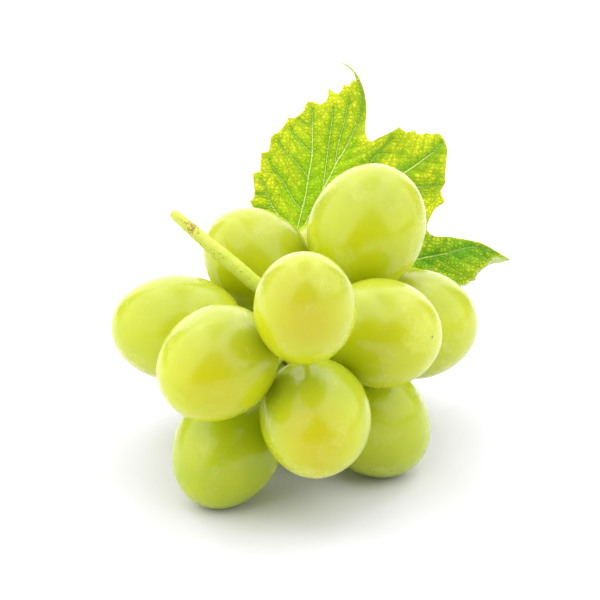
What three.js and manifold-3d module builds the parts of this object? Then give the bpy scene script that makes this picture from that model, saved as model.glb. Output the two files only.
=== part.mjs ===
// A small bunch of green table grapes with one vine leaf, lying on a flat surface.
// Millimetres, +Z up. The bunch is seen from -Y. The origin is the middle of its footprint, on the surface.
import * as THREE from 'three';
import { mergeVertices } from 'three/addons/utils/BufferGeometryUtils.js';
import Module from 'manifold-3d';

const manifold = await Module();
manifold.setup();

// ---- Driving sizes ----
const berryGap = 0.3; // free space between the end of a small stalk and its berry
const berryTaper = 0.03; // how much slimmer a berry is towards its flower end
const berrySides = 18;
const berrySteps = 10;

const stalkRadius = 1.15; // the long stalk that the bunch is cut by
const spineRadius = 1.35; // the stalk inside the bunch
const twigRadius = 0.75; // the small stalk of each berry
const collarRadius = 1.4; // the small plate where a twig meets its berry
const collarHeight = 1.2;
const twigStraight = 0.28; // share of a twig's reach that points straight at its berry
const tubeSides = 8;

const leafThickness = 0.5;
const leafLean = 18; // degrees that the blade leans back from upright
const leafRings = 4;
const leafBase = [-2.5, 43, 30.3]; // where the leaf's stalk meets the blade
const petioleRadius = 0.9;

// ---- Colours ----
const grapeGreen = 0xcbd63f;
const stalkGreen = 0xc3cf63;
const leafGreen = 0x7fb52c;

// ---- The stalk inside the bunch: named forks, from the cut end to the last twig ----
const forks = {
  cutEnd: [-25.1, -3.4, 55.2],
  bend: [-16.7, -4, 47.7],
  shoulder: [-7.5, -4, 39.3],
  neck: [-3, -1.6, 33.8],
  hub: [0, 1.6, 28],
  low: [2.5, 6, 24],
  end: [1, 14.5, 22.5],
  sideFork: [0, -5.5, 29.5],
  front: [0.5, -14.5, 31],
};

// ---- The berries ----
// at: middle of the berry, or only its [x, y] where the berry rests on the surface.
// turn and rise: the way its flower end points, in degrees round Z and up from the surface.
const berries = [
  // Seen from the front, top row to bottom row.
  { at: [13.5, 5, 49], turn: 30, rise: 60, long: 26, wide: 23, fork: 'hub' },
  { at: [-8.5, 8, 41], turn: -165, rise: 45, long: 24, wide: 20, fork: 'hub' },
  { at: [7, 23.5, 34], turn: 95, rise: 15, long: 25, wide: 21, fork: 'low' },
  { at: [1, -37.5, 47.5], turn: -90, rise: 55, long: 25, wide: 18.5, fork: 'front' },
  { at: [-24, -8, 32.5], turn: 175, rise: 0, long: 26, wide: 21, fork: 'neck' },
  { at: [-15.5, -31, 34], turn: -125, rise: -15, long: 25, wide: 21, fork: 'front' },
  { at: [16, -14.5, 34], turn: -40, rise: 10, long: 25, wide: 21, fork: 'sideFork' },
  { at: [24, 8, 27.5], turn: 20, rise: -5, long: 25, wide: 22, fork: 'hub' },
  { at: [3, -29, 22], turn: -85, rise: -20, long: 25, wide: 21, fork: 'front' },
  { at: [-14, -18], turn: -130, rise: -45, long: 26, wide: 21, fork: 'sideFork' },
  { at: [15, -6], turn: 20, rise: -50, long: 26, wide: 21, fork: 'sideFork' },
  // The far side of the bunch.
  { at: [9, 15], turn: 70, rise: -55, long: 23, wide: 20, fork: 'low' },
  { at: [-10.5, 4.5], turn: 165, rise: -50, long: 25, wide: 21, fork: 'low' },
  { at: [-26, 15, 23], turn: 120, rise: -15, long: 24, wide: 20, fork: 'hub' },
  { at: [-8.5, 27, 16], turn: 95, rise: -30, long: 25, wide: 21, fork: 'end' },
  { at: [22.5, 32, 20], turn: 50, rise: -10, long: 24, wide: 21, fork: 'end' },
];

// ---- The leaf's outline, across and up from its base: tips and notches of the teeth ----
const leftLobe = [
  [-8.5, 11.5], [-7.5, 12.5], [-7, 14.5], [-7.5, 17.5], [-6, 18], [-5.5, 20], [-5.5, 21.5], [-4, 22],
  [-4, 24.5], [-3.5, 25.5], [-2, 26.5], [-0.5, 27.5], [0, 29.5], [1.5, 29.5], [3, 31], [3.5, 32.5],
  [4.5, 33], [6.5, 32.5], [8.5, 33.5], [9, 35.5], [10.5, 35], [12, 36.5], [13.2, 36.5],
];
const tip = [14.5, 39.5];
const rightLobe = [
  [15.5, 37.5], [16.5, 34.5], [17, 31.5], [16.5, 27], [17, 25.5], [18, 24.5], [20, 25.5], [24, 27.5],
  [25, 26.5], [27, 26.5], [28.3, 25.5], [29.8, 26], [32.5, 26], [33, 25], [34, 23.5], [34, 19],
  [33.5, 16.5], [33.5, 15], [33, 13], [33.5, 11.5], [31.5, 9], [30.5, 7.5],
];
const sideLobe = [
  [30, 5], [31, 4], [34, 4], [37, 3.5], [40.5, 3], [44, 1.5], [47.5, -0.7], [44.5, -1], [43, -2],
  [41, -3], [40, -4], [40.5, -5], [38, -6.5], [32, -6], [25, -5], [18, -4.5],
];
const underLobes = [
  [12, -5], [7, -5.5], [3, -4.5], [1.3, -3], [-0.5, -1.5], [-3, -4], [-6.5, -5.5], [-9.5, -3],
  [-11, 1], [-11, 5], [-9.5, 8],
];
const leafOutline = [...leftLobe, tip, ...rightLobe, ...sideLobe, ...underLobes];

// ---- Helpers ----
const radians = THREE.MathUtils.degToRad;
const point = ([x, y, z]) => new THREE.Vector3(x, y, z);

function direction(turn, rise) {
  const flat = Math.cos(radians(rise));
  const x = flat * Math.cos(radians(turn));
  const y = flat * Math.sin(radians(turn));
  return new THREE.Vector3(x, y, Math.sin(radians(rise)));
}

// A berry that rests on the surface has its middle as high as its own lowest point needs.
function berryCentre(berry) {
  if (berry.at.length === 3) return point(berry.at);
  const along = Math.sin(radians(berry.rise)) * berry.long / 2;
  const across = Math.cos(radians(berry.rise)) * berry.wide / 2;
  return new THREE.Vector3(berry.at[0], berry.at[1], Math.hypot(along, across));
}

function toSolid(geometry) {
  const bare = geometry.clone();
  bare.deleteAttribute('normal');
  bare.deleteAttribute('uv');
  const merged = mergeVertices(bare, 1e-4);
  const vertProperties = new Float32Array(merged.attributes.position.array);
  const triVerts = new Uint32Array(merged.index.array);
  return new manifold.Manifold(new manifold.Mesh({ numProp: 3, vertProperties, triVerts }));
}

function fromSolid(solid) {
  const mesh = solid.getMesh();
  const geometry = new THREE.BufferGeometry();
  geometry.setAttribute('position', new THREE.BufferAttribute(new Float32Array(mesh.vertProperties), 3));
  geometry.setIndex(new THREE.BufferAttribute(new Uint32Array(mesh.triVerts), 1));
  geometry.computeVertexNormals();
  return geometry;
}

const joinAll = (geometries) => fromSolid(geometries.map(toSolid).reduce((all, next) => all.add(next)));

function tube(curve, radius, steps) {
  const section = new THREE.Shape();
  for (let i = 0; i < tubeSides; i += 1) {
    const angle = (i / tubeSides) * 2 * Math.PI;
    const place = [radius * Math.cos(angle), radius * Math.sin(angle)];
    if (i === 0) section.moveTo(...place);
    else section.lineTo(...place);
  }
  section.closePath();
  return new THREE.ExtrudeGeometry(section, { steps, extrudePath: curve, curveSegments: 1 });
}

const curveThrough = (names) => new THREE.CatmullRomCurve3(names.map((name) => point(forks[name])));

// ---- Parts ----
function berryGeometry({ long, wide }) {
  const profile = [];
  for (let i = 0; i <= berrySteps; i += 1) {
    const angle = (i / berrySteps - 0.5) * Math.PI;
    const slim = 1 - berryTaper * Math.sin(angle);
    const ends = i === 0 || i === berrySteps;
    profile.push(new THREE.Vector2(ends ? 0 : wide / 2 * Math.cos(angle) * slim, long / 2 * Math.sin(angle)));
  }
  return new THREE.LatheGeometry(profile, berrySides);
}

function makeBerry(berry, index) {
  const skin = new THREE.MeshStandardMaterial({ color: grapeGreen, roughness: 0.35, metalness: 0 });
  const mesh = new THREE.Mesh(berryGeometry(berry), skin);
  mesh.name = `berry_${String(index + 1).padStart(2, '0')}`;
  mesh.position.copy(berryCentre(berry));
  mesh.quaternion.setFromUnitVectors(new THREE.Vector3(0, 1, 0), direction(berry.turn, berry.rise));
  return mesh;
}

// A twig leaves its fork, bends, and runs straight into the end of its berry.
function twig(berry) {
  const out = direction(berry.turn, berry.rise);
  const tipPoint = berryCentre(berry).addScaledVector(out, -(berry.long / 2 + berryGap));
  const start = point(forks[berry.fork]);
  const reach = tipPoint.distanceTo(start);
  const bend = tipPoint.clone().addScaledVector(out, -twigStraight * reach);
  const stepLength = 2.5;
  const curve = new THREE.QuadraticBezierCurve3(start, bend, tipPoint);
  const collar = new THREE.CylinderGeometry(collarRadius, twigRadius, collarHeight, tubeSides);
  collar.applyQuaternion(new THREE.Quaternion().setFromUnitVectors(new THREE.Vector3(0, 1, 0), out));
  const collarAt = tipPoint.clone().addScaledVector(out, -collarHeight / 2);
  collar.translate(collarAt.x, collarAt.y, collarAt.z);
  return [tube(curve, twigRadius, Math.max(3, Math.round(reach / stepLength))), collar];
}

function makeStem() {
  const stalk = tube(curveThrough(['cutEnd', 'bend', 'shoulder', 'neck']), stalkRadius, 12);
  const spine = tube(curveThrough(['neck', 'hub', 'low', 'end']), spineRadius, 9);
  const branch = tube(curveThrough(['hub', 'sideFork', 'front']), spineRadius, 6);
  const knots = ['neck', 'hub', 'front', 'end'].map((name) => {
    const knot = new THREE.SphereGeometry(spineRadius * 1.25, tubeSides, 6);
    return knot.translate(...forks[name]);
  });
  const bark = new THREE.MeshStandardMaterial({ color: stalkGreen, roughness: 0.6, metalness: 0 });
  const stem = new THREE.Mesh(joinAll([stalk, spine, branch, ...knots, ...berries.flatMap(twig)]), bark);
  stem.name = 'bunch_stem';
  return stem;
}

// How far the blade bulges towards the front: its two sides curl forward and its tip falls back.
function leafBulge(across, up) {
  const middle = 15;
  return 0.0035 * ((across - middle) ** 2 - middle ** 2) - 0.002 * up * up;
}

// The blade is a web of rings round its base, with a front face, a back face and an edge.
function bladeGeometry() {
  const count = leafOutline.length;
  const points = [];
  for (const side of [1, -1]) {
    const lift = side * leafThickness / 2;
    points.push(0, -lift, 0);
    for (let ring = 1; ring <= leafRings; ring += 1) {
      for (const [x, y] of leafOutline) {
        const across = x * ring / leafRings;
        const up = y * ring / leafRings;
        points.push(across, -leafBulge(across, up) - lift, up);
      }
    }
  }
  const faceSize = 1 + leafRings * count;
  const at = (face, ring, i) => face * faceSize + 1 + (ring - 1) * count + (i % count);
  const triangles = [];
  const addTriangle = (face, a, b, c) => triangles.push(...(face === 0 ? [a, c, b] : [a, b, c]));
  for (let i = 0; i < count; i += 1) {
    for (const face of [0, 1]) {
      addTriangle(face, face * faceSize, at(face, 1, i), at(face, 1, i + 1));
      for (let ring = 1; ring < leafRings; ring += 1) {
        addTriangle(face, at(face, ring, i), at(face, ring + 1, i), at(face, ring + 1, i + 1));
        addTriangle(face, at(face, ring, i), at(face, ring + 1, i + 1), at(face, ring, i + 1));
      }
    }
    triangles.push(at(0, leafRings, i), at(1, leafRings, i + 1), at(1, leafRings, i));
    triangles.push(at(0, leafRings, i), at(0, leafRings, i + 1), at(1, leafRings, i + 1));
  }
  const geometry = new THREE.BufferGeometry();
  geometry.setAttribute('position', new THREE.Float32BufferAttribute(points, 3));
  geometry.setIndex(triangles);
  geometry.rotateX(-radians(leafLean));
  geometry.translate(...leafBase);
  return geometry;
}

function makeLeaf() {
  const petiole = new THREE.CatmullRomCurve3([
    point(leafBase),
    new THREE.Vector3(-3.5, 34, 29.2),
    new THREE.Vector3(-5.5, 25, 29.5),
    new THREE.Vector3(-6.2, 18.5, 29.3),
    new THREE.Vector3(-5.7, 12.5, 28.1),
    new THREE.Vector3(-3.8, 6.9, 27.6),
    new THREE.Vector3(-1.85, 3.4, 27.6), // stops just short of the stalk's hub
  ]);
  const green = new THREE.MeshStandardMaterial({ color: leafGreen, roughness: 0.55, metalness: 0 });
  const leaf = new THREE.Mesh(joinAll([bladeGeometry(), tube(petiole, petioleRadius, 12)]), green);
  leaf.name = 'vine_leaf';
  return leaf;
}

// ---- The bunch ----
const bunch = new THREE.Group();
bunch.add(...berries.map(makeBerry), makeStem(), makeLeaf());

const box = new THREE.Box3().setFromObject(bunch, true);
const middle = box.getCenter(new THREE.Vector3());
bunch.position.set(-middle.x, -middle.y, -box.min.z);

export default bunch;
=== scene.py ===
# Small bunch of green table grapes with one vine leaf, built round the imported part.
import math
import bpy
import numpy as np
from mathutils import Euler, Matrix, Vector
from mathutils.geometry import delaunay_2d_cdt


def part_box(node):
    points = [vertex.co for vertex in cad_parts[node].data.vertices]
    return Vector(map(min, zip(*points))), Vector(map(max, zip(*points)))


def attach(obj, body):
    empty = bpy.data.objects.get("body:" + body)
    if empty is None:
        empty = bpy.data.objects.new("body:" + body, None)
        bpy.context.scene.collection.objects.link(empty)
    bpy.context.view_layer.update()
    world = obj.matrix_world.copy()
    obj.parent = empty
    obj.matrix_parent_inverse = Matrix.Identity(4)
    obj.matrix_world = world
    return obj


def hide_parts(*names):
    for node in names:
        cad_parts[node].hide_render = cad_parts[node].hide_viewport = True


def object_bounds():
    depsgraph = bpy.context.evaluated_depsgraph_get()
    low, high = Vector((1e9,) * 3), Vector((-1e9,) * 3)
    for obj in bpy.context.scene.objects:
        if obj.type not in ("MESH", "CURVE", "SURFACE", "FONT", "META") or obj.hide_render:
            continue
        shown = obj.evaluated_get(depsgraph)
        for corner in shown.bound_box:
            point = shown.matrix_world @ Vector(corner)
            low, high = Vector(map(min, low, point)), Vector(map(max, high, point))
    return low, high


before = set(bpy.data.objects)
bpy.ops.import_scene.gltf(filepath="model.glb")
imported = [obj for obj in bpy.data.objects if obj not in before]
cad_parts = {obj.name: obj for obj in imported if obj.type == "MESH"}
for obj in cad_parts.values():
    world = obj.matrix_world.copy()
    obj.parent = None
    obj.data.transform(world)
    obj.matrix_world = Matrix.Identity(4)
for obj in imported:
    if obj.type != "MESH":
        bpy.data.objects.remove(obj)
cadLow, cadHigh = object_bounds()
mm = 0.001
# the solids were drawn from a point on the floor that lies right of and behind the middle of berry_10
pastBerry = (14 * mm, 18 * mm)
lowBerryLow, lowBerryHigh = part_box("berry_10")
drawnFrom = np.array([(lowBerryLow.x + lowBerryHigh.x) / 2 + pastBerry[0],
                      (lowBerryLow.y + lowBerryHigh.y) / 2 + pastBerry[1], 0])
print("frame loaded:", len(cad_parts), "nodes, drawn from", (drawnFrom / mm).round(2))


def linear(hexColour):
    # sRGB hex to the linear colour that a shader wants
    parts = [int(hexColour[i:i + 2], 16) / 255 for i in (1, 3, 5)]
    return [p / 12.92 if p <= 0.04045 else ((p + 0.055) / 1.055) ** 2.4 for p in parts] + [1.0]


def addNode(tree, kind, settings=None, links=None):
    # settings name the node's own options or its sockets; links name sockets and what feeds them
    made = tree.nodes.new(kind)
    for name, value in (settings or {}).items():
        if name == "stops":
            while len(made.color_ramp.elements) < len(value):
                made.color_ramp.elements.new(1.0)
            for element, (place, colour) in zip(made.color_ramp.elements, value):
                element.position = place
                element.color = linear(colour) if isinstance(colour, str) else [colour] * 3 + [1.0]
        elif isinstance(name, int) or name in made.inputs:
            made.inputs[name].default_value = linear(value) if isinstance(value, str) else value
        else:
            setattr(made, name, value)
    for name, source in (links or {}).items():
        tree.links.new(source, made.inputs[name])
    return made


def startMaterial(name):
    material = bpy.data.materials.new(name)
    material.use_nodes = True
    material.node_tree.nodes.clear()
    return material, material.node_tree


def endMaterial(tree, settings, links):
    shader = addNode(tree, "ShaderNodeBsdfPrincipled", settings, links)
    addNode(tree, "ShaderNodeOutputMaterial", links={"Surface": shader.outputs["BSDF"]})


def meshPiece(name, points, faces, material, attributes=None, smooth=True):
    mesh = bpy.data.meshes.new(name)
    mesh.from_pydata([tuple(p) for p in points], [], faces)
    for key, values in (attributes or {}).items():
        values = np.asarray(values, dtype=np.float32)
        if values.ndim == 2:
            mesh.attributes.new(key, "FLOAT_VECTOR", "POINT").data.foreach_set("vector", values.ravel())
        else:
            mesh.attributes.new(key, "FLOAT", "POINT").data.foreach_set("value", values)
    mesh.polygons.foreach_set("use_smooth", [smooth] * len(mesh.polygons))
    mesh.materials.append(material)
    mesh.update()
    piece = bpy.data.objects.new(name, mesh)
    bpy.context.scene.collection.objects.link(piece)
    return piece


def nodePoints(nodeName):
    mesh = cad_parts[nodeName].data
    points = np.zeros(len(mesh.vertices) * 3)
    mesh.vertices.foreach_get("co", points)
    return points.reshape(-1, 3)


def smoothStep(low, high, value):
    t = np.clip((value - low) / (high - low), 0, 1)
    return t * t * (3 - 2 * t)


grapeLook = {
    # the first ramp colour is the low berries' greener tone with painted shade in it; the last is a golden
    # glow painted where light comes through the flesh
    "shadeSide": "#a1b512", "middle": "#bdc60e", "paintedGlowGold": "#c0bd08",
    # the veil colour is a dull sheen painted on the upper sides, standing in for light reflected from above
    "bloomColour": "#e3eaa6", "streakColour": "#dbe58a", "scarColour": "#5f4320", "paintedSheenColour": "#8f9366",
    "mottleMm": 7.0,       # size of the soft colour patches
    "streakMm": 1.1,       # spacing of the lengthwise veins under the skin
    "bloomMm": 8.0,        # size of the waxy patches
    "bloomGrainMm": 0.5,   # rubbed grain inside the wax
    "dotMm": 2.4,          # spacing of the pale breathing pores
    "fleshGlowMm": 12.0,   # how far light travels in the flesh
    "waxTint": 0.26,       # how much the wax pales the skin
    "cleanRough": 0.25, "waxedRough": 0.44,
    "glow": 0.9,           # share of the light that enters the flesh
    "sheen": 0.35, "sheenRough": 0.17,   # the smooth clear layer on the skin
}


def grapeSkinWaxed():
    # Table grape: thin waxed skin over clear wet flesh. The eye sees a soft inner glow, wide soft
    # highlights, a paler dusting of wax and faint lengthwise veins.
    # The skin colour also carries painted light: a dull sheen on the upper sides, a golden glow on the side
    # facing the camera and painted shade on the low berries.
    look = grapeLook
    material, tree = startMaterial("grapeSkinWaxed")
    place = addNode(tree, "ShaderNodeAttribute", {"attribute_name": "skinPlace"}).outputs["Vector"]
    ripe = addNode(tree, "ShaderNodeAttribute", {"attribute_name": "ripe"}).outputs["Fac"]
    scar = addNode(tree, "ShaderNodeAttribute", {"attribute_name": "scar"}).outputs["Fac"]
    veil = addNode(tree, "ShaderNodeAttribute", {"attribute_name": "veil"}).outputs["Fac"]
    mottle = addNode(tree, "ShaderNodeTexNoise", {"Scale": 1 / (look["mottleMm"] * mm), "Detail": 3.0},
                     {"Vector": place}).outputs["Fac"]
    # random tone plus painted light: shade on the low berries and a golden glow on the side facing the
    # camera
    toneWithPaintedLight = addNode(tree, "ShaderNodeMath", {"operation": "MULTIPLY_ADD", 1: 0.4}, {0: mottle, 2: ripe})
    flesh = addNode(tree, "ShaderNodeValToRGB", {"stops": [
        (0.12, look["shadeSide"]), (0.55, look["middle"]), (1.0, look["paintedGlowGold"])]},
        {"Fac": toneWithPaintedLight.outputs[0]}).outputs["Color"]
    along = addNode(tree, "ShaderNodeVectorMath", {"operation": "MULTIPLY", 1: (1, 1, 0.1)}, {0: place})
    streaks = addNode(tree, "ShaderNodeTexNoise", {"Scale": 1 / (look["streakMm"] * mm), "Detail": 2.0},
                      {"Vector": along.outputs[0]}).outputs["Fac"]
    streakMask = addNode(tree, "ShaderNodeMapRange", {"From Min": 0.56, "From Max": 0.74, "To Max": 0.07},
                         {"Value": streaks}).outputs["Result"]
    # painted sheen: a dull pale tint on the upper sides of the higher berries, in place of the reflection
    # of light from above
    withPaintedSheen = addNode(tree, "ShaderNodeMix", {"data_type": "RGBA", 7: look["paintedSheenColour"]},
                     {"Factor": veil, 6: flesh}).outputs[2]
    veined = addNode(tree, "ShaderNodeMix", {"data_type": "RGBA", 7: look["streakColour"]},
                     {"Factor": streakMask, 6: withPaintedSheen}).outputs[2]
    pores = addNode(tree, "ShaderNodeTexVoronoi", {"Scale": 1 / (look["dotMm"] * mm)},
                    {"Vector": place}).outputs["Distance"]
    poreMask = addNode(tree, "ShaderNodeMapRange", {"From Min": 0.035, "From Max": 0.075, "To Min": 0.2,
                                                    "To Max": 0.0}, {"Value": pores}).outputs["Result"]
    dotted = addNode(tree, "ShaderNodeMix", {"data_type": "RGBA", 7: look["bloomColour"]},
                     {"Factor": poreMask, 6: veined}).outputs[2]
    waxPatch = addNode(tree, "ShaderNodeTexNoise", {"Scale": 1 / (look["bloomMm"] * mm), "Detail": 5.0,
                                                    "Roughness": 0.6}, {"Vector": place}).outputs["Fac"]
    waxGrain = addNode(tree, "ShaderNodeTexNoise", {"Scale": 1 / (look["bloomGrainMm"] * mm),
                                                    "Detail": 3.0}, {"Vector": place}).outputs["Fac"]
    patchMask = addNode(tree, "ShaderNodeMapRange", {"From Min": 0.56, "From Max": 0.70},
                        {"Value": waxPatch}).outputs["Result"]
    grainMask = addNode(tree, "ShaderNodeMapRange", {"From Min": 0.42, "From Max": 0.62, "To Min": 0.3},
                        {"Value": waxGrain}).outputs["Result"]
    wax = addNode(tree, "ShaderNodeMath", {"operation": "MULTIPLY"},
                  {0: patchMask, 1: grainMask}).outputs[0]
    waxTint = addNode(tree, "ShaderNodeMath", {"operation": "MULTIPLY", 1: look["waxTint"]},
                      {0: wax}).outputs[0]
    waxed = addNode(tree, "ShaderNodeMix", {"data_type": "RGBA", 7: look["bloomColour"]},
                    {"Factor": waxTint, 6: dotted}).outputs[2]
    scarred = addNode(tree, "ShaderNodeMix", {"data_type": "RGBA", 7: look["scarColour"]},
                      {"Factor": scar, 6: waxed}).outputs[2]
    rough = addNode(tree, "ShaderNodeMapRange",
                    {"To Min": look["cleanRough"], "To Max": look["waxedRough"]}, {"Value": wax})
    bump = addNode(tree, "ShaderNodeBump", {"Strength": 0.12, "Distance": 0.05 * mm}, {"Height": waxGrain})
    endMaterial(tree, {"IOR": 1.45, "Specular IOR Level": 0.34, "Subsurface Weight": look["glow"],
                       "Subsurface Radius": (1.0, 0.9, 0.22),
                       "Subsurface Scale": look["fleshGlowMm"] * mm, "Subsurface Anisotropy": 0.3,
                       "Coat Weight": look["sheen"], "Coat Roughness": look["sheenRough"]},
                {"Base Color": scarred, "Roughness": rough.outputs["Result"],
                 "Normal": bump.outputs["Normal"]})
    return material


stalkLook = {
    "green": "#c6d544", "pale": "#dbe06c", "rust": "#a4732a", "speck": "#4a3214", "cut": "#c9b465",
    "ridgeMm": 0.45,   # spacing of the lengthwise fibres
    "patchMm": 4.0,    # size of the paler patches
    "rustMm": 0.6,     # grain of the rusty rub near the cut end
    "speckMm": 0.75,   # spacing of the dark specks
    "rustPull": 0.40,  # how far the rub spreads from its middle
    "smoothRough": 0.42, "fibreRough": 0.62,
}


def stalkGreenFibrous():
    # Green bunch stalk: firm fibrous bark, dull, with fine lengthwise ridges, dark specks and a rusty rub.
    look = stalkLook
    material, tree = startMaterial("stalkGreenFibrous")
    place = addNode(tree, "ShaderNodeTexCoord").outputs["Object"]
    grain = addNode(tree, "ShaderNodeAttribute", {"attribute_name": "barkPlace"}).outputs["Vector"]
    rust = addNode(tree, "ShaderNodeAttribute", {"attribute_name": "rust"}).outputs["Fac"]
    freckle = addNode(tree, "ShaderNodeAttribute", {"attribute_name": "freckle"}).outputs["Fac"]
    cut = addNode(tree, "ShaderNodeAttribute", {"attribute_name": "cut"}).outputs["Fac"]
    fibre = addNode(tree, "ShaderNodeTexNoise", {"Scale": 1 / (look["ridgeMm"] * mm), "Detail": 3.0},
                    {"Vector": grain}).outputs["Fac"]
    tone = addNode(tree, "ShaderNodeTexNoise", {"Scale": 1 / (look["patchMm"] * mm), "Detail": 4.0},
                   {"Vector": place}).outputs["Fac"]
    mixed = addNode(tree, "ShaderNodeMath", {"operation": "MULTIPLY_ADD", 1: 0.5},
                    {0: fibre, 2: tone}).outputs[0]
    bark = addNode(tree, "ShaderNodeValToRGB", {"stops": [(0.55, look["green"]), (0.95, look["pale"])]},
                   {"Fac": mixed}).outputs["Color"]
    rub = addNode(tree, "ShaderNodeTexNoise", {"Scale": 1 / (look["rustMm"] * mm), "Detail": 5.0,
                                               "Roughness": 0.65}, {"Vector": place}).outputs["Fac"]
    rustMask = addNode(tree, "ShaderNodeMath", {"operation": "MULTIPLY_ADD", 1: look["rustPull"]},
                       {0: rust, 2: rub}).outputs[0]
    rustMask = addNode(tree, "ShaderNodeMapRange", {"From Min": 0.79, "From Max": 0.92, "To Max": 0.85},
                       {"Value": rustMask}).outputs["Result"]
    rusted = addNode(tree, "ShaderNodeMix", {"data_type": "RGBA", 7: look["rust"]},
                     {"Factor": rustMask, 6: bark}).outputs[2]
    aged = addNode(tree, "ShaderNodeMix", {"data_type": "RGBA", 7: look["cut"]},
                   {"Factor": cut, 6: rusted}).outputs[2]
    specks = addNode(tree, "ShaderNodeTexVoronoi", {"Scale": 1 / (look["speckMm"] * mm)}, {"Vector": place})
    speckMask = addNode(tree, "ShaderNodeMapRange", {"From Min": 0.12, "From Max": 0.18, "To Min": 0.9,
                                                     "To Max": 0.0}, {"Value": specks.outputs["Distance"]})
    speckMask = addNode(tree, "ShaderNodeMath", {"operation": "MULTIPLY"},
                        {0: speckMask.outputs["Result"], 1: freckle}).outputs[0]
    specked = addNode(tree, "ShaderNodeMix", {"data_type": "RGBA", 7: look["speck"]},
                      {"Factor": speckMask, 6: aged}).outputs[2]
    bump = addNode(tree, "ShaderNodeBump", {"Strength": 0.5, "Distance": 0.12 * mm}, {"Height": fibre})
    rough = addNode(tree, "ShaderNodeMapRange",
                    {"To Min": look["smoothRough"], "To Max": look["fibreRough"]}, {"Value": fibre})
    endMaterial(tree, {"IOR": 1.45, "Specular IOR Level": 0.4, "Subsurface Weight": 0.35,
                       "Subsurface Radius": (1.0, 1.0, 0.3), "Subsurface Scale": 1.2 * mm},
                {"Base Color": specked, "Roughness": rough.outputs["Result"],
                 "Normal": bump.outputs["Normal"]})
    return material


leafLook = {
    "green": "#b2d716", "freshGreen": "#86ac1c", "deepGreen": "#7ab62e", "yellow": "#eae42c",
    # the vein-side green is shade painted in the grooves along the veins
    "mainVein": "#dcea88", "netVein": "#92bf28", "deepNet": "#58a02a", "veinShadeGreen": "#609808",
    "edge": "#e2d63a", "brown": "#b07838", "under": "#cfe0a4",
    "wobbleMm": 1.8, "bendMm": 0.8,   # how the fine veins wander
    "netMm": 0.85,     # size of the small fields between the finest veins
    "fieldMm": 3.2,    # size of the larger fields
    "patchMm": 6.0,    # size of the yellow patches
    "fieldRough": 0.46, "lineRough": 0.62,
}


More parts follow.
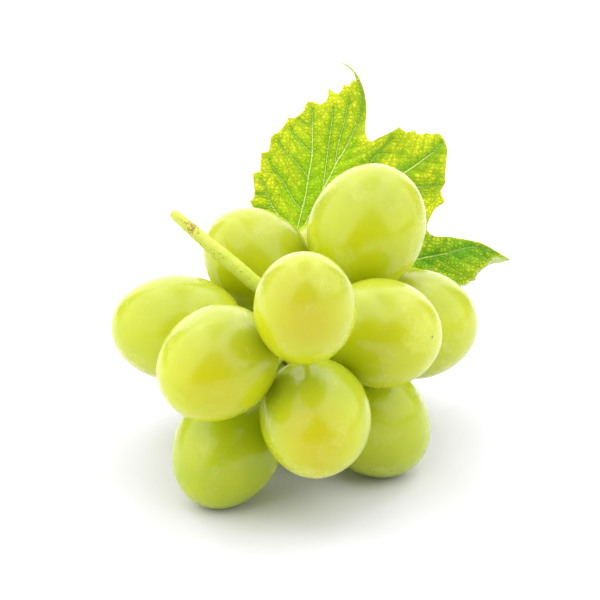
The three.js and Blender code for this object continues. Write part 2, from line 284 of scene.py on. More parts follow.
def vineLeafSatin():
    # Vine leaf: satin upper side with a vein net; it yellows first between the veins and near the edge.
    look = leafLook
    material, tree = startMaterial("vineLeafSatin")
    read = {}
    for name in ("toMain", "toBranch", "toSide", "toEdge", "young", "deep", "fresh", "under"):
        read[name] = addNode(tree, "ShaderNodeAttribute", {"attribute_name": name}).outputs["Fac"]
    place = addNode(tree, "ShaderNodeAttribute", {"attribute_name": "leafPlace"}).outputs["Vector"]
    toVein = addNode(tree, "ShaderNodeMath", {"operation": "MINIMUM"},
                     {0: read["toMain"], 1: read["toBranch"]}).outputs[0]
    wobble = addNode(tree, "ShaderNodeTexNoise", {"Scale": 1 / (look["wobbleMm"] * mm), "Detail": 2.0},
                     {"Vector": place}).outputs["Color"]
    bent = addNode(tree, "ShaderNodeVectorMath",
                   {"operation": "MULTIPLY_ADD", 1: (look["bendMm"] * mm,) * 3},
                   {0: wobble, 2: place}).outputs[0]
    netSettings = {"voronoi_dimensions": "2D", "Scale": 1 / (look["netMm"] * mm), "Randomness": 0.75}
    cell = addNode(tree, "ShaderNodeTexVoronoi", netSettings, {"Vector": bent}).outputs["Color"]
    net = addNode(tree, "ShaderNodeTexVoronoi", {**netSettings, "feature": "DISTANCE_TO_EDGE"},
                  {"Vector": bent}).outputs["Distance"]
    field = addNode(tree, "ShaderNodeTexVoronoi",
                    {"voronoi_dimensions": "2D", "feature": "DISTANCE_TO_EDGE",
                     "Scale": 1 / (look["fieldMm"] * mm)}, {"Vector": bent}).outputs["Distance"]
    patches = addNode(tree, "ShaderNodeTexNoise", {"Scale": 1 / (look["patchMm"] * mm), "Detail": 4.0,
                                                   "Roughness": 0.6}, {"Vector": place}).outputs["Fac"]
    # each kind of fine line: its distance in, where it starts and stops to fade, and its strength
    lines = None
    for source, low, high, strength in ((net, 0.04, 0.24, 0.85), (field, 0.01, 0.06, 0.95),
                                        (read["toSide"], 0.04, 0.18, 1.0)):
        line = addNode(tree, "ShaderNodeMapRange", {"From Min": low, "From Max": high, "To Min": strength,
                                                    "To Max": 0.0}, {"Value": source}).outputs["Result"]
        lines = line if lines is None else addNode(tree, "ShaderNodeMath", {"operation": "MAXIMUM"},
                                                   {0: lines, 1: line}).outputs[0]
    # yellowing grows towards the edge and away from veins, by patches and then field by field:
    # what it goes by, the end of its range, and what it adds at zero and at that end
    yellowing = patches
    for source, high, atLow, atHigh in ((read["toEdge"], 12.0, 0.50, 0.0), (toVein, 2.2, -0.20, 0.08),
                                        (cell, 1.0, -0.20, 0.20), (read["deep"], 1.0, 0.0, -0.12),
                                        (read["fresh"], 1.0, 0.0, -0.14)):
        part = addNode(tree, "ShaderNodeMapRange", {"From Max": high, "To Min": atLow, "To Max": atHigh},
                       {"Value": source}).outputs["Result"]
        yellowing = addNode(tree, "ShaderNodeMath", {"operation": "ADD"},
                            {0: yellowing, 1: part}).outputs[0]
    # each mask: what it goes by, the two ends of its range, and the mask's strength at each
    masks = {}
    for name, source, low, high, atLow, atHigh in (
            ("yellow", yellowing, 0.52, 0.95, 0.0, 0.95), ("calm", read["deep"], 0.0, 1.0, 1.0, 0.55),
            ("wideShade", toVein, 0.3, 2.6, 0.26, 0.0), ("nearShade", toVein, 0.12, 0.34, 0.75, 0.0),
            ("main", read["toMain"], 0.09, 0.20, 1.0, 0.0),
            ("branch", read["toBranch"], 0.05, 0.14, 0.9, 0.0),
            ("rim", read["toEdge"], 0.08, 0.34, 0.75, 0.0), ("rimPatch", patches, 0.38, 0.56, 0.0, 1.0),
            ("dry", read["toEdge"], 0.12, 0.50, 0.6, 0.0), ("dryPatch", patches, 0.58, 0.66, 0.0, 1.0),
            ("lines", lines, 0.0, 1.0, 0.0, 0.68), ("fresh", read["fresh"], 0.0, 1.0, 0.0, 0.75)):
        ends = {"From Min": low, "From Max": high, "To Min": atLow, "To Max": atHigh}
        masks[name] = addNode(tree, "ShaderNodeMapRange", ends, {"Value": source}).outputs["Result"]
    for name, other in (("yellow", masks["calm"]), ("main", read["young"]), ("branch", read["young"]),
                        ("rim", masks["rimPatch"]), ("dry", masks["dryPatch"])):
        masks[name] = addNode(tree, "ShaderNodeMath", {"operation": "MULTIPLY"},
                              {0: masks[name], 1: other}).outputs[0]
    ground = addNode(tree, "ShaderNodeMix", {"data_type": "RGBA", 6: look["green"], 7: look["deepGreen"]},
                     {"Factor": read["deep"]}).outputs[2]
    netTint = addNode(tree, "ShaderNodeMix", {"data_type": "RGBA", 6: look["netVein"], 7: look["deepNet"]},
                      {"Factor": read["deep"]}).outputs[2]
    colour = addNode(tree, "ShaderNodeMix", {"data_type": "RGBA", 7: look["freshGreen"]},
                     {"Factor": masks["fresh"], 6: ground}).outputs[2]
    colour = addNode(tree, "ShaderNodeMix", {"data_type": "RGBA", 7: look["yellow"]},
                     {"Factor": masks["yellow"], 6: colour}).outputs[2]
    colour = addNode(tree, "ShaderNodeMix", {"data_type": "RGBA"},
                     {"Factor": masks["lines"], 6: colour, 7: netTint}).outputs[2]
    # the two shade masks paint shade beside the veins, in the grooves where the blade sinks
    for amount, tint in (("wideShade", "veinShadeGreen"), ("nearShade", "veinShadeGreen"), ("branch", "mainVein"),
                         ("main", "mainVein"), ("rim", "edge"), ("dry", "brown")):
        colour = addNode(tree, "ShaderNodeMix", {"data_type": "RGBA", 7: look[tint]},
                         {"Factor": masks[amount], 6: colour}).outputs[2]
    colour = addNode(tree, "ShaderNodeMix", {"data_type": "RGBA", 7: look["under"]},
                     {"Factor": read["under"], 6: colour}).outputs[2]
    bump = addNode(tree, "ShaderNodeBump", {"invert": True, "Strength": 1.0, "Distance": 0.18 * mm},
                   {"Height": lines})
    rough = addNode(tree, "ShaderNodeMapRange", {"To Min": look["fieldRough"], "To Max": look["lineRough"]},
                    {"Value": lines})
    endMaterial(tree, {"IOR": 1.42, "Specular IOR Level": 0.14, "Subsurface Weight": 0.4,
                       "Subsurface Radius": (1.0, 1.0, 0.2), "Subsurface Scale": 0.8 * mm},
                {"Base Color": colour, "Roughness": rough.outputs["Result"],
                 "Normal": bump.outputs["Normal"]})
    return material


skin = grapeSkinWaxed()
bark = stalkGreenFibrous()
blade = vineLeafSatin()
print("materials made")

berryShape = {
    "rings": 72, "sides": 96,
    "swell": 0.15 * mm,        # the berries press closer than the plain solids do
    "taper": 0.03,             # slimmer towards the flower end, as the solid is
    "lump": 0.006, "lumpWaves": 4,   # gentle unevenness, as a share of the radius
    "dimpleDepth": 0.7 * mm, "dimpleWidth": 1.7 * mm,
    "scarDepth": 0.15 * mm, "scarWidth": 1.3 * mm, "scarDot": 0.28 * mm,
    "stemScar": 0.5, "stemScarWidth": 1.2 * mm,
    # how brown the flower end's dot is, and how strong a golden glow is painted on the side facing the
    # camera, standing in for light through the flesh, berry by berry
    "scarTint": {"berry_01": 0.9, "berry_05": 0.8, "berry_07": 0.9, "berry_08": 0.6}, "otherScars": 0.15,
    "paintedGlowTint": {"berry_04": 0.55, "berry_06": 0.45, "berry_09": 0.75}, "otherPaintedGlow": 0.12,
    "glowFacing": (0.0, -0.99, 0.08), "paintedGlowWidth": 0.62,   # radians
    "lowBerryShadeAndTone": 0.10, "heightShadeAndTone": 0.22,   # tone of the lowest berries and what height adds: partly their own greener tone, partly painted shade low in the bunch
    "veil": 0.25,              # how strongly a dull pale sheen is painted on the upper sides of the higher berries, a painted reflection of the light from above
}
stemPoints = nodePoints("bunch_stem")


def measureBerry(nodeName):
    # middle, unit axis towards the flower end, half length and radius of a berry's solid
    points = nodePoints(nodeName)
    middle = points.mean(axis=0)
    _, directions = np.linalg.eigh(np.cov((points - middle).T))
    axis = directions[:, 2]
    along = (points - middle) @ axis
    middle = middle + axis * (along.max() + along.min()) / 2
    half = (along.max() - along.min()) / 2
    across = points - middle - np.outer((points - middle) @ axis, axis)
    ends = [np.linalg.norm(stemPoints - (middle + side * half * axis), axis=1).min() for side in (-1, 1)]
    if ends[1] < ends[0]:
        axis = -axis
    return middle, axis, half, np.linalg.norm(across, axis=1).max()


def makeBerry(nodeName, seed):
    shape = berryShape
    middle, axis, half, radius = measureBerry(nodeName)
    half += shape["swell"]
    radius += shape["swell"]
    draw = np.random.default_rng(seed)
    rings, sides = shape["rings"], shape["sides"]
    lift = (np.arange(1, rings) / rings - 0.5) * math.pi
    turn = np.arange(sides) / sides * 2 * math.pi
    lift, turn = [g.ravel() for g in np.meshgrid(lift, turn, indexing="ij")]
    lift = np.concatenate([[-math.pi / 2], lift, [math.pi / 2]])
    turn = np.concatenate([[0], turn, [0]])
    slim = 1 - shape["taper"] * np.sin(lift)
    local = np.stack([radius * np.cos(lift) * slim * np.cos(turn),
                      radius * np.cos(lift) * slim * np.sin(turn), half * np.sin(lift)], axis=1)
    for _ in range(shape["lumpWaves"]):
        wave = draw.normal(size=3) * 1.6 / radius
        local *= 1 + shape["lump"] * np.sin(local @ wave + draw.uniform(0, 6.28))[:, None]
    fromAxis = np.hypot(local[:, 0], local[:, 1])
    stemSide = local[:, 2] < 0
    dimple = shape["dimpleDepth"] * np.exp(-(fromAxis / shape["dimpleWidth"]) ** 2)
    scarPit = shape["scarDepth"] * (np.exp(-(fromAxis / shape["scarWidth"]) ** 2)
                                    - 0.8 * np.exp(-(fromAxis / shape["scarDot"]) ** 2))
    local[:, 2] += np.where(stemSide, dimple, -scarPit)
    scar = np.where(stemSide, shape["stemScar"] * np.exp(-(fromAxis / shape["stemScarWidth"]) ** 2),
                    np.exp(-(fromAxis / shape["scarDot"]) ** 4))
    scar *= np.where(stemSide, 1, shape["scarTint"].get(nodeName, shape["otherScars"]))
    faces = []
    for i in range(sides):
        after = (i + 1) % sides
        faces.append((0, 1 + after, 1 + i))
        for ring in range(rings - 2):
            low, high = 1 + ring * sides, 1 + (ring + 1) * sides
            faces.append((low + i, low + after, high + after, high + i))
        top = 1 + (rings - 2) * sides
        faces.append((top + i, top + after, 1 + (rings - 1) * sides))
    spin = Vector(axis).to_track_quat("Z", "X").to_matrix()
    turned = local @ np.array(spin).T
    # lower berries are painted darker and greener, partly their own tone and partly painted shade; the side
    # facing the camera gets a painted golden glow of light through the flesh
    height = middle[2] / (cadHigh[2] - cadLow[2])
    raised = smoothStep(0.15, 0.5, height)
    ripe = shape["lowBerryShadeAndTone"] + shape["heightShadeAndTone"] * raised + draw.uniform(-0.03, 0.03)
    # painted sheen: strongest on upward-facing skin of the higher berries, where light from above would
    # reflect
    veil = shape["veil"] * raised * smoothStep(0.1, 0.95, turned[:, 2] / np.linalg.norm(turned, axis=1))
    # painted glow: a golden tint on the side facing the camera, standing in for light shining through the
    # flesh
    facing = turned @ np.array(shape["glowFacing"]) / np.linalg.norm(turned, axis=1)
    fromGlowFacing = np.arccos(np.clip(facing, -1, 1))
    paintedGlowAmount = shape["paintedGlowTint"].get(nodeName, shape["otherPaintedGlow"])
    ripe = ripe + paintedGlowAmount * np.exp(-(fromGlowFacing / shape["paintedGlowWidth"]) ** 2)
    points = turned + middle
    points[:, 2] = np.maximum(points[:, 2], 0)   # a berry rests on a small flat of its own skin
    skinPlace = local + draw.uniform(-0.5, 0.5, size=3)
    attributes = {"skinPlace": skinPlace, "ripe": ripe, "scar": scar, "veil": veil}
    piece = meshPiece(nodeName + "_skin", points, faces, skin, attributes)
    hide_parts(nodeName)
    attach(piece, "root")


berryNodes = sorted(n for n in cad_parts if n.startswith("berry_"))
for seed, nodeName in enumerate(berryNodes):
    makeBerry(nodeName, seed + 1)
print("berries made:", len(berryNodes))

stalkShape = {
    "voxel": 0.25 * mm, "smoothing": 8, "regrow": 0.10 * mm, "ridgeHeight": 0.05 * mm,
    "ridgeWaves": (6, 3.2, 1.9, 1.2),               # mm
    "handlePart": 0.62,                             # the handle stands above this share of the height
    "thinEnd": 0.18 * mm, "thickRoot": 0.40 * mm,   # how much slimmer and thicker the handle gets
    "rustAt": 4.8 * mm, "rustLength": 3.0 * mm, "cutLength": 0.5 * mm,
    "roundLength": 1.5 * mm, "roundDepth": 0.6 * mm, "roundPinch": 0.22,   # the end wears round
    "rustSide": (0.35, -0.55, 0.75), "freckleSide": (-0.6, -0.6, -0.5),
}


def makeStalk():
    # The solid's joined tubes melt into one grown, slightly knotty stalk.
    shape = stalkShape
    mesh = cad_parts["bunch_stem"].data.copy()
    mesh.materials.clear()
    mesh.materials.append(bark)
    piece = bpy.data.objects.new("bunch_stalk", mesh)
    bpy.context.scene.collection.objects.link(piece)
    remesh = piece.modifiers.new("melt", "REMESH")
    remesh.mode = "VOXEL"
    remesh.voxel_size = shape["voxel"]
    soften = piece.modifiers.new("soften", "SMOOTH")
    soften.iterations = shape["smoothing"]
    bpy.context.view_layer.update()
    evaluated = piece.evaluated_get(bpy.context.evaluated_depsgraph_get())
    grown = bpy.data.meshes.new_from_object(evaluated)
    piece.modifiers.clear()
    piece.data = grown
    bpy.data.meshes.remove(mesh)
    count = len(grown.vertices)
    points = np.zeros(count * 3)
    normals = np.zeros(count * 3)
    grown.vertices.foreach_get("co", points)
    grown.vertices.foreach_get("normal", normals)
    points, normals = points.reshape(-1, 3), normals.reshape(-1, 3)
    draw = np.random.default_rng(40)
    ridge = np.zeros(count)
    for waveMm in shape["ridgeWaves"]:
        wave = draw.normal(size=3)
        wave *= 2 * math.pi / (waveMm * mm) / np.linalg.norm(wave)
        ridge += np.sin(points @ wave + draw.uniform(0, 6.28)) / 2
    handle = points[points[:, 2] > shape["handlePart"] * (cadHigh[2] - cadLow[2])]
    _, directions = np.linalg.eigh(np.cov((handle - handle.mean(axis=0)).T))
    axis = directions[:, 2] * np.sign(directions[2, 2])
    fromEnd = (handle @ axis).max() - points @ axis
    onHandle = smoothStep(28 * mm, 22 * mm, fromEnd)
    swell = shape["thickRoot"] * smoothStep(3 * mm, 16 * mm, fromEnd) * onHandle
    swell -= shape["thinEnd"] * smoothStep(5 * mm, 1 * mm, fromEnd)
    points += normals * (shape["regrow"] + swell + shape["ridgeHeight"] * ridge)[:, None]
    nearEnd = np.clip(1 - fromEnd / shape["roundLength"], 0, 1)
    centre = points[fromEnd < shape["roundLength"]].mean(axis=0)
    radial = points - centre - np.outer((points - centre) @ axis, axis)
    share = np.linalg.norm(radial, axis=1)
    share = np.clip(share / share[nearEnd > 0].max(), 0, 1)
    points -= np.outer(shape["roundDepth"] * nearEnd * (1 - np.sqrt(1 - 0.96 * share ** 2)), axis)
    points -= shape["roundPinch"] * radial * (nearEnd ** 2)[:, None]
    rust = np.exp(-((fromEnd - shape["rustAt"]) / shape["rustLength"]) ** 2)
    rust *= smoothStep(-0.5, 0.7, normals @ np.array(shape["rustSide"]))
    freckle = smoothStep(-0.2, 0.6, normals @ np.array(shape["freckleSide"]))
    across = points - np.outer(points @ axis, axis)
    attributes = {"rust": rust, "freckle": np.maximum(freckle, smoothStep(4 * mm, 1 * mm, fromEnd)),
                  "cut": 0.8 * smoothStep(shape["cutLength"], 0, fromEnd)}
    for key, values in attributes.items():
        values = values.astype(np.float32)
        grown.attributes.new(key, "FLOAT", "POINT").data.foreach_set("value", values)
    barkPlace = (across + 0.08 * np.outer(points @ axis, axis)).astype(np.float32)
    grown.attributes.new("barkPlace", "FLOAT_VECTOR", "POINT").data.foreach_set("vector", barkPlace.ravel())
    grown.vertices.foreach_set("co", points.ravel())
    grown.polygons.foreach_set("use_smooth", [True] * len(grown.polygons))
    grown.update()
    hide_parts("bunch_stem")
    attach(piece, "root")


makeStalk()
print("stalk made")

leafShape = {
    "base": (-2.5, 43.0, 30.3),   # mm, where the leaf's stalk meets the blade, as the solid has it
    "lean": 18,                   # degrees back from upright, as the solid has
    "thickness": 0.30,            # mm
    "grid": 0.45,                 # mm between the points of the blade
    "sideVeinStep": 3.2,          # mm between side veins along a main vein
    "sideVeinAngle": 50,          # degrees between a side vein and its main vein
    "sideVeinPace": 0.6, "sideVeinPaces": 60, "sideVeinCurl": 0.022,   # mm, most paces, radians a pace
    "sideVeinStop": 0.9, "sideVeinJoin": 0.7,   # mm: how near a main and a side vein it may come
    "grooveDepth": 0.20, "puff": 0.42, "rib": 0.25,   # mm: veins sink above, show below, and fields swell
    "veinWidth": 0.45, "sideVeinWidth": 0.35, "ripple": 0.5,   # mm
    "linePoints": 0.4, "clearOfLines": 0.2,   # mm between points on a line, and from it to the grid
    "curlMiddle": 15, "curl": 0.0035, "fallBack": 0.002,   # the bulge: where it is lowest, and how it bends
    "rollTilt": 0.25,             # how steeply the rolled edge turns back
    "awnFoot": 38.2,              # mm up, where the thin awn begins
    # mm from the base; the leaf's own stalk runs between the berries into the hub of the bunch's stalk
    "stalkRoute": [(0, 0.3, 0), (-1, -9, -1.1), (-3, -18, -0.8), (-3.7, -24.5, -1.0), (-3.2, -30.5, -2.2),
                   (-1.3, -36.1, -2.7), (1.6, -40.9, -2.8)],
    "stalkRadius": 0.85,                      # mm
    "stalkFlare": 0.25, "rootFlare": 0.4,     # how much it widens at its two ends
}
# The outline, in mm across and up from the base. The tip ends in a thin awn that bends to the left.
leftLobe = [
    (-9.3, 9.0), (-7.8, 10.5), (-8.4, 11.4), (-7.4, 12.4), (-7.4, 14.2), (-7.8, 17.5), (-6.1, 18.1),
    (-6.1, 19.8), (-5.9, 22.0), (-4.3, 22.4), (-4.0, 23.8), (-3.9, 25.2), (-3.2, 26.1), (-2.3, 26.4),
    (-1.4, 27.4), (-0.5, 28.7), (-0.1, 29.7), (1.1, 29.6), (2.1, 30.1), (3.4, 31.3), (3.6, 32.4),
    (4.3, 33.2), (5.3, 33.2), (6.8, 32.6), (8.1, 33.2), (8.6, 34.4), (8.7, 36.2), (9.8, 35.2),
    (10.8, 34.9), (11.6, 35.7), (12.0, 37.0), (13.1, 36.5), (13.5, 37.3), (14.0, 37.9), (14.8, 37.7)]
awn = [
    (14.5, 38.6), (14.3, 39.4), (13.6, 40.2), (12.6, 41.0), (11.3, 41.8), (11.3, 41.9), (12.7, 41.3),
    (13.9, 40.4), (14.8, 39.3)]
rightLobe = [
    (15.5, 38.1), (16.2, 36.5), (16.6, 35.0), (17.0, 32.4), (17.0, 30.5), (16.8, 28.5), (16.7, 26.8),
    (16.9, 25.7), (17.3, 24.9), (17.9, 24.4), (19.0, 25.0), (20.8, 25.9), (22.8, 26.8), (24.1, 27.7),
    (24.7, 27.0), (25.8, 26.5), (26.6, 26.7), (27.3, 27.0), (27.9, 26.2), (28.8, 26.0), (29.9, 26.4),
    (31.0, 26.0), (32.1, 26.3), (33.0, 26.0), (33.7, 25.0), (34.2, 23.7), (34.5, 22.4), (34.3, 20.9),
    (34.1, 18.7), (33.9, 16.8), (34.1, 15.7), (33.5, 14.6), (33.0, 13.7), (33.4, 12.4), (34.0, 11.3),
    (32.6, 10.5), (31.6, 9.6), (30.9, 8.3), (30.2, 6.8)]
sideLobe = [
    (30.0, 5.4), (30.6, 4.5), (31.7, 3.9), (33.4, 3.9), (34.9, 3.8), (37.1, 3.5), (39.3, 3.1), (41.5, 2.6),
    (43.3, 1.7), (45.3, 0.5), (46.7, -0.4), (48.0, -1.1), (45.8, -1.8), (44.2, -2.0), (43.2, -2.4),
    (42.2, -3.1), (41.1, -4.1), (40.5, -5.0), (40.5, -5.6), (39.4, -5.9), (38.3, -6.9), (35, -7), (30, -6),
    (24, -5.5), (18, -5)]
underLobes = [
    (12, -5), (7, -5.5), (3, -4.5), (1.3, -3), (-0.5, -1.5), (-3, -4), (-6.5, -5.5), (-9.5, -3),
    (-11, 1), (-11, 5), (-10.5, 7)]
# The side lobe's lower edge rolls over along this line and shows the pale underside.
rollLine = [
    (48.0, -1.1), (45.9, -0.5), (44.8, -0.4), (43.9, -0.6), (43.2, -1.4), (42.9, -2.0), (41.6, -2.9),
    (40.4, -3.8), (40.4, -5.1), (39.3, -5.4), (38.0, -6.4), (35, -6.5)]
rimEnd = (35, -7)   # the last point of the outline that rolls over
farAway = 9.0       # mm, what stands for no line near
mainVeins = [
    [(0, 0), (1.7, 4.7), (2.9, 9.6), (3.6, 12), (4.3, 16.7), (4.9, 19.8), (5.2, 22), (5.2, 26.5),
     (5.3, 31.5)],
    [(0, 0), (-0.4, 5), (-0.9, 6.8), (-2.3, 8.7), (-3.6, 10.5), (-4.2, 12), (-4.9, 13.3), (-5.4, 15.2),
     (-6, 16.5)],
    [(0, 0), (4, 7.3), (7.9, 14.8), (9.7, 18.3), (10.5, 20.2), (12.1, 22.4), (13.4, 25), (14.7, 27.8),
     (15.5, 29.8), (16.2, 32), (16.4, 33.9), (16.0, 36), (14.9, 38.6), (13.7, 40.3), (11.6, 41.6)],
    [(0, 0), (8, 6), (16, 11.8), (22, 15.5), (25.5, 17.9), (27.9, 19.5), (30, 21.1), (32, 22.5),
     (33.2, 24.1)],
    [(0, 0), (9, -1.6), (18, -2.3), (27.6, -1.3), (29.5, -0.7), (32.4, -0.2), (34.8, 0.3), (37.1, 1.1),
     (39.5, 1.6), (41.9, 1.4), (44, 0.7)],
    [(0, 0), (-4, 0.5), (-9, 2)],
]
branchVeins = [
    [(4.3, 16.7), (2.9, 18.3), (1.4, 20.2), (0.1, 21.5), (-1.4, 23), (-2.3, 24.8)],
    [(2.9, 9.6), (1.4, 11.3), (0.1, 13.3), (-1, 15.7), (-2.5, 17.4), (-3.6, 19.1), (-4, 20.5)],
    [(5.2, 21.8), (3.2, 23.7), (1.8, 24.9), (0.9, 26.3), (0.5, 27.6)],
    [(5.2, 27.8), (3.6, 28.4), (2.3, 29.4)],
    [(7.4, 14), (8.4, 21.5), (9, 25.9), (9.5, 29.2), (9.8, 32)],
    [(10.1, 20), (11, 24.8), (12, 28), (12.6, 31), (13.2, 34)],
    [(14, 10.4), (17.9, 20.3), (19.2, 21.8), (20.8, 23.5), (22.8, 25.5)],
    [(22, 15.5), (29, 14.3), (32.5, 15.2)], [(-3.6, 10.5), (-5.2, 9.9), (-6.8, 10.2)],
    [(-4.9, 13.3), (-6, 12.9), (-6.9, 13.2)],
]


def denser(points, step):
    # the same line with a point at least every step
    result = []
    for start, end in zip(points[:-1], points[1:]):
        pieces = max(1, math.ceil(math.dist(start, end) / step))
        start, end = np.array(start), np.array(end)
        result += [tuple(start + (end - start) * k / pieces) for k in range(pieces)]
    return result + [tuple(points[-1])]


def smoothLine(points, rounds=2):
    # rounds off a line's corners and keeps its two ends
    points = [np.array(p, dtype=float) for p in points]
    for _ in range(rounds):
        cut = [points[0]]
        for start, end in zip(points[:-1], points[1:]):
            cut += [start * 0.75 + end * 0.25, start * 0.25 + end * 0.75]
        points = cut + [points[-1]]
    return [tuple(p) for p in points]


def insideOutline(place, outline):
    x, y = place
    ends = np.roll(outline, -1, axis=0)
    crosses = (outline[:, 1] > y) != (ends[:, 1] > y)
    rise = np.where(crosses, ends[:, 1] - outline[:, 1], 1)
    meet = outline[:, 0] + (y - outline[:, 1]) * (ends[:, 0] - outline[:, 0]) / rise
    return bool(np.sum(crosses & (x < meet)) % 2)


def distanceToLines(places, segments):
    # shortest distance from each place to any of the segments
    starts, spans = segments[0], segments[1] - segments[0]
    squares = np.maximum((spans ** 2).sum(axis=1), 1e-12)
    best = []
    for some in np.array_split(places, len(places) // 300 + 1):
        offset = some[:, None] - starts
        t = np.clip((offset * spans).sum(axis=2) / squares, 0, 1)
        best.append(np.linalg.norm(offset - t[:, :, None] * spans, axis=2).min(axis=1))
    return np.concatenate(best)


def segmentsOf(lines):
    starts = np.array([p for line in lines for p in line[:-1]])
    ends = np.array([p for line in lines for p in line[1:]])
    return starts, ends


def insidePolygon(places, outline):
    return np.array([insideOutline(place, outline) for place in places])


def tube(route, radii, sides=12):
    # points and faces of a closed round tube along a route
    rings, faces = [], []
    route = np.array(route, dtype=float)
    for i, radius in enumerate(radii):
        ahead = Vector(route[min(i + 1, len(route) - 1)] - route[max(i - 1, 0)])
        turn = np.array(ahead.to_track_quat("Z", "Y").to_matrix())
        angle = np.arange(sides) / sides * 2 * math.pi
        circle = np.stack([radius * np.cos(angle), radius * np.sin(angle), 0 * angle], axis=1)
        rings.append(circle @ turn.T + route[i])
    for i in range(len(radii) - 1):
        for k in range(sides):
            low, high, after = i * sides, (i + 1) * sides, (k + 1) % sides
            faces.append((low + k, low + after, high + after, high + k))
    faces.append(tuple(reversed(range(sides))))
    faces.append(tuple(range((len(radii) - 1) * sides, len(radii) * sides)))
    return np.concatenate(rings), faces


def growSideVeins(veins, outline):
    # side veins leave both sides of each vein and run on until the edge, a main vein or a side vein
    shape = leafShape
    sideVeins, taken = [], [(99.0, 99.0)]   # the places that side veins hold, from one far off the leaf
    mainSegments = segmentsOf(veins)
    for vein in veins:
        travelled = 0
        for start, end in zip(vein[:-1], vein[1:]):
            start, end = np.array(start), np.array(end)
            before = travelled
            travelled += np.linalg.norm(end - start)
            sameStep = int(before / shape["sideVeinStep"]) == int(travelled / shape["sideVeinStep"])
            if sameStep or travelled < 4:
                continue
            heading = math.atan2(*(end - start)[::-1])
            for side in (1, -1):
                angle = heading + side * math.radians(shape["sideVeinAngle"])
                place, line = end.copy(), [tuple(end)]
                for step in range(shape["sideVeinPaces"]):
                    place = place + shape["sideVeinPace"] * np.array([math.cos(angle), math.sin(angle)])
                    angle -= side * shape["sideVeinCurl"]
                    near = distanceToLines(place[None], mainSegments)[0]
                    if not insideOutline(place, outline) or (step > 3 and near < shape["sideVeinStop"]):
                        break
                    line.append(tuple(place))
                    nearest = np.linalg.norm(np.array(taken) - place, axis=1).min()
                    if step > 2 and nearest < shape["sideVeinJoin"]:
                        break
                if len(line) > 3:
                    sideVeins.append(line)
                    taken += line
    return sideVeins


def leafBulge(across, up):
    # how far the blade comes forward: its two sides curl forward and its tip falls back, as the solid does
    shape = leafShape
    middle = shape["curlMiddle"]
    return shape["curl"] * ((across - middle) ** 2 - middle ** 2) - shape["fallBack"] * up * up


def bladePoints(outline, lines, shape):
    # the outline, the points of the vein lines and a slightly uneven grid between them
    draw = np.random.default_rng(7)
    low, high = outline.min(axis=0), outline.max(axis=0)
    rows = np.arange(low[1], high[1], shape["grid"] * 0.87)
    columns = np.arange(low[0], high[0], shape["grid"])
    x, y = np.meshgrid(columns, rows)
    x = x + (np.arange(len(rows)) % 2)[:, None] * shape["grid"] / 2
    grid = np.stack([x.ravel(), y.ravel()], axis=1) + draw.uniform(-0.07, 0.07, size=(x.size, 2))
    edge = (outline, np.roll(outline, -1, axis=0))
    grid = grid[insidePolygon(grid, outline)]
    grid = grid[distanceToLines(grid, edge) > shape["clearOfLines"]]
    grid = grid[distanceToLines(grid, segmentsOf(lines)) > shape["clearOfLines"]]
    onLines = np.array([p for line in lines for p in line])
    onLines = onLines[insidePolygon(onLines, outline)]
    onLines = onLines[distanceToLines(onLines, edge) > 0.12]
    return np.concatenate([outline, onLines, grid])


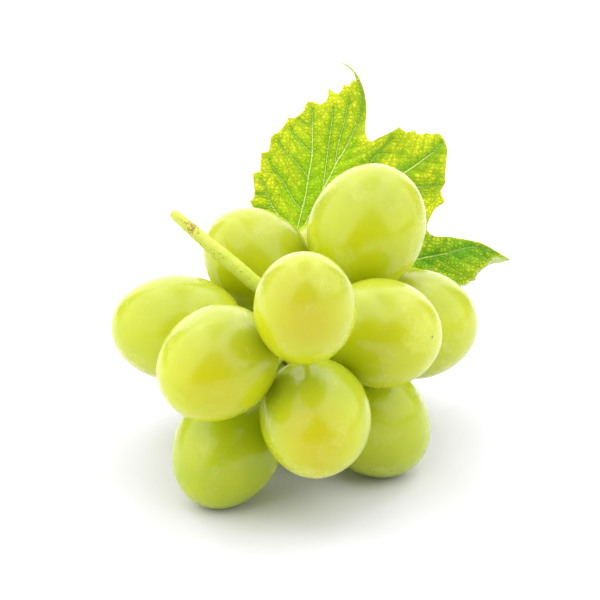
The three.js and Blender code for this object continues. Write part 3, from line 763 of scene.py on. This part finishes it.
def makeLeaf():
    shape = leafShape
    corners = leftLobe + awn + rightLobe + sideLobe + underLobes
    step = shape["linePoints"]
    outline = np.array(denser(corners + [corners[0]], step)[:-1])
    mains = [denser(smoothLine(line), step) for line in mainVeins]
    branches = [denser(smoothLine(line), step) for line in branchVeins]
    sideVeins = growSideVeins(mains + branches, outline)
    roll = denser(rollLine, step)
    flat = bladePoints(outline, mains + branches + sideVeins + [roll], shape)
    edges = [(i, (i + 1) % len(outline)) for i in range(len(outline))]
    made = delaunay_2d_cdt([Vector(p) for p in flat], edges, [], 1, 1e-4)
    places = np.array([tuple(p) for p in made[0]])
    triangles = [tuple(f) for f in made[2]]
    toMain = distanceToLines(places, segmentsOf(mains))
    toBranch = distanceToLines(places, segmentsOf(branches))
    toSide = distanceToLines(places, segmentsOf(sideVeins))
    toEdge = distanceToLines(places, (outline, np.roll(outline, -1, axis=0)))
    toRoll = distanceToLines(places, segmentsOf([roll]))
    toVein = np.minimum(toMain, toBranch)
    fromBase = np.hypot(places[:, 0], places[:, 1])
    rolledRim = sideLobe[sideLobe.index(rollLine[0]):sideLobe.index(rimEnd) + 1]
    onRim = distanceToLines(places, segmentsOf([rolledRim])) < 0.02
    rolled = (insidePolygon(places, np.array(rollLine + rolledRim[::-1])) | onRim) & (toRoll > 0.02)
    toEdge = np.where(rolled, farAway, np.minimum(toEdge, np.where(toRoll < 1e-3, 0, toRoll)))
    onAwn = places[:, 1] > shape["awnFoot"]
    toEdge = np.where(onAwn, farAway, toEdge)
    young = np.where(onAwn, 1, 0.25 + 0.75 * smoothStep(0, 7, toEdge))   # veins fade near the edge
    toMain = np.where(onAwn, farAway, toMain)
    deep = smoothStep(24, 31, places[:, 0]) * smoothStep(9, 5, places[:, 1])
    fresh = smoothStep(11, 17, places[:, 0]) * smoothStep(3, 6, places[:, 1])
    groove = np.exp(-(toVein / shape["veinWidth"]) ** 2)
    groove = groove + 0.5 * np.exp(-(toSide / shape["sideVeinWidth"]) ** 2)
    puff = shape["puff"] * smoothStep(0, 1.8, np.minimum(toVein, toSide)) * smoothStep(0, 2.0, toEdge)
    ripple = shape["ripple"] * np.sin(places[:, 0] * 0.42 + 1.0) * np.sin(places[:, 1] * 0.37)
    ripple = ripple * smoothStep(0, 18, fromBase)
    forward = leafBulge(places[:, 0], places[:, 1]) + ripple + puff - shape["grooveDepth"] * groove
    forward -= np.where(rolled, shape["rollTilt"] * toRoll, 0)
    # stand the flat blade up, leaning back, with its base where the solid has it
    count = len(places)
    front = np.stack([places[:, 0], -forward, places[:, 1]], axis=1)
    back = front + np.stack([0 * toVein, shape["thickness"] + shape["rib"] * groove, 0 * toVein], axis=1)
    lean = np.array(Euler((-math.radians(shape["lean"]), 0, 0)).to_matrix())
    both = np.concatenate([front, back]) @ lean.T
    faces = [tuple(reversed(t)) for t in triangles] + [tuple(i + count for i in t) for t in triangles]
    first = [both[i] for i in faces[0]]
    if np.cross(first[1] - first[0], first[2] - first[0])[1] > 0:
        faces = [tuple(reversed(f)) for f in faces]
        triangles = [tuple(reversed(t)) for t in triangles]
    owners = {}
    for face in triangles:
        for a, b in zip(face, face[1:] + face[:1]):
            owners.setdefault(frozenset((a, b)), []).append((a, b))
    for rim in owners.values():
        if len(rim) == 1:
            a, b = rim[0]
            faces.append((a, b, b + count, a + count))
    route = denser(smoothLine(shape["stalkRoute"]), 1.0)
    steps = np.arange(len(route))
    radii = shape["stalkRadius"] * (1 + shape["stalkFlare"] * np.exp(-steps / 2)
                                    + shape["rootFlare"] * np.exp(-steps[::-1] / 1.5))
    stalkPoints, stalkFaces = tube(route, radii)
    faces += [tuple(i + 2 * count for i in f) for f in stalkFaces]
    more = len(stalkPoints)
    points = (np.concatenate([both, stalkPoints]) + np.array(shape["base"])) * mm + drawnFrom

    def everywhere(values, onStalk, onBack=None):
        return np.concatenate([values, values if onBack is None else onBack, np.full(more, onStalk)])

    flatPlace = np.column_stack([places * mm, 0 * toVein])
    attributes = {
        "toMain": everywhere(toMain, 0.0), "toBranch": everywhere(toBranch, farAway),
        "toSide": everywhere(toSide, farAway), "toEdge": everywhere(toEdge, farAway),
        "young": everywhere(young, 0.85),
        "deep": everywhere(deep, 0.0), "fresh": everywhere(fresh, 0.0),
        # the rolled strip takes the full pale underside colour and the rest of the back 0.72 of it: partly
        # the underside's own colour, partly painted light that lifts the rolled strip out of its shade
        "under": everywhere(rolled * 1.0, 0.0, np.full(count, 0.72)),
        "leafPlace": np.concatenate([flatPlace, flatPlace, stalkPoints * mm]),
    }
    piece = meshPiece("vine_leaf_blade", points, faces, blade, attributes)
    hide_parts("vine_leaf")
    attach(piece, "root")


makeLeaf()
print("leaf made")

stageLook = {
    "floorSize": 6.0, "floorColour": "#e6e4ee", "worldColour": "#f1f4ff", "worldStrength": 0.20,
    "aimHeight": 35.4 * mm,   # above the point that the solids were drawn from
    "distance": 0.5, "elevation": 20, "lens": 150,
}
softboxes = {
    # name: place in metres, width, watts; the one behind lights the rims of the berries
    "boxLeft": ((-0.66, -0.22, 0.62), 1.60, 14.8),
    "boxRight": ((0.66, -0.16, 0.68), 1.50, 12.4),
    "boxBehind": ((0.0, 1.25, 0.75), 2.00, 21.0),
    "boxAbove": ((0.0, 0.05, 1.15), 1.10, 2.8),
}


def makeStage():
    look = stageLook
    lookAt = Vector(drawnFrom) + Vector((0, 0, look["aimHeight"]))
    material, tree = startMaterial("paperPale")
    endMaterial(tree, {"Base Color": look["floorColour"], "Roughness": 0.9}, {})
    half = look["floorSize"] / 2
    corners = [(-half, -half, 0), (half, -half, 0), (half, half, 0), (-half, half, 0)]
    floor = meshPiece("floor", corners, [(0, 1, 2, 3)], material, smooth=False)
    world = bpy.data.worlds.new("studio")
    bpy.context.scene.world = world
    world.use_nodes = True
    background = world.node_tree.nodes["Background"]
    background.inputs["Color"].default_value = linear(look["worldColour"])
    background.inputs["Strength"].default_value = look["worldStrength"]
    for name, (place, width, watts) in softboxes.items():
        lamp = bpy.data.lights.new(name, "AREA")
        lamp.shape = "SQUARE"
        lamp.size = width
        lamp.energy = watts
        holder = bpy.data.objects.new(name, lamp)
        holder.location = place
        holder.rotation_euler = (lookAt - Vector(place)).to_track_quat("-Z", "Y").to_euler()
        bpy.context.scene.collection.objects.link(holder)
    lens = bpy.data.cameras.new("camera")
    lens.lens = look["lens"]
    lens.sensor_width = 36
    camera = bpy.data.objects.new("camera", lens)
    tilt = math.radians(look["elevation"])
    camera.location = lookAt + Vector((0, -math.cos(tilt), math.sin(tilt))) * look["distance"]
    camera.rotation_euler = (lookAt - camera.location).to_track_quat("-Z", "Y").to_euler()
    bpy.context.scene.collection.objects.link(camera)
    bpy.context.scene.camera = camera
    bpy.context.scene.view_settings.view_transform = "Standard"


makeStage()
print("stage made")
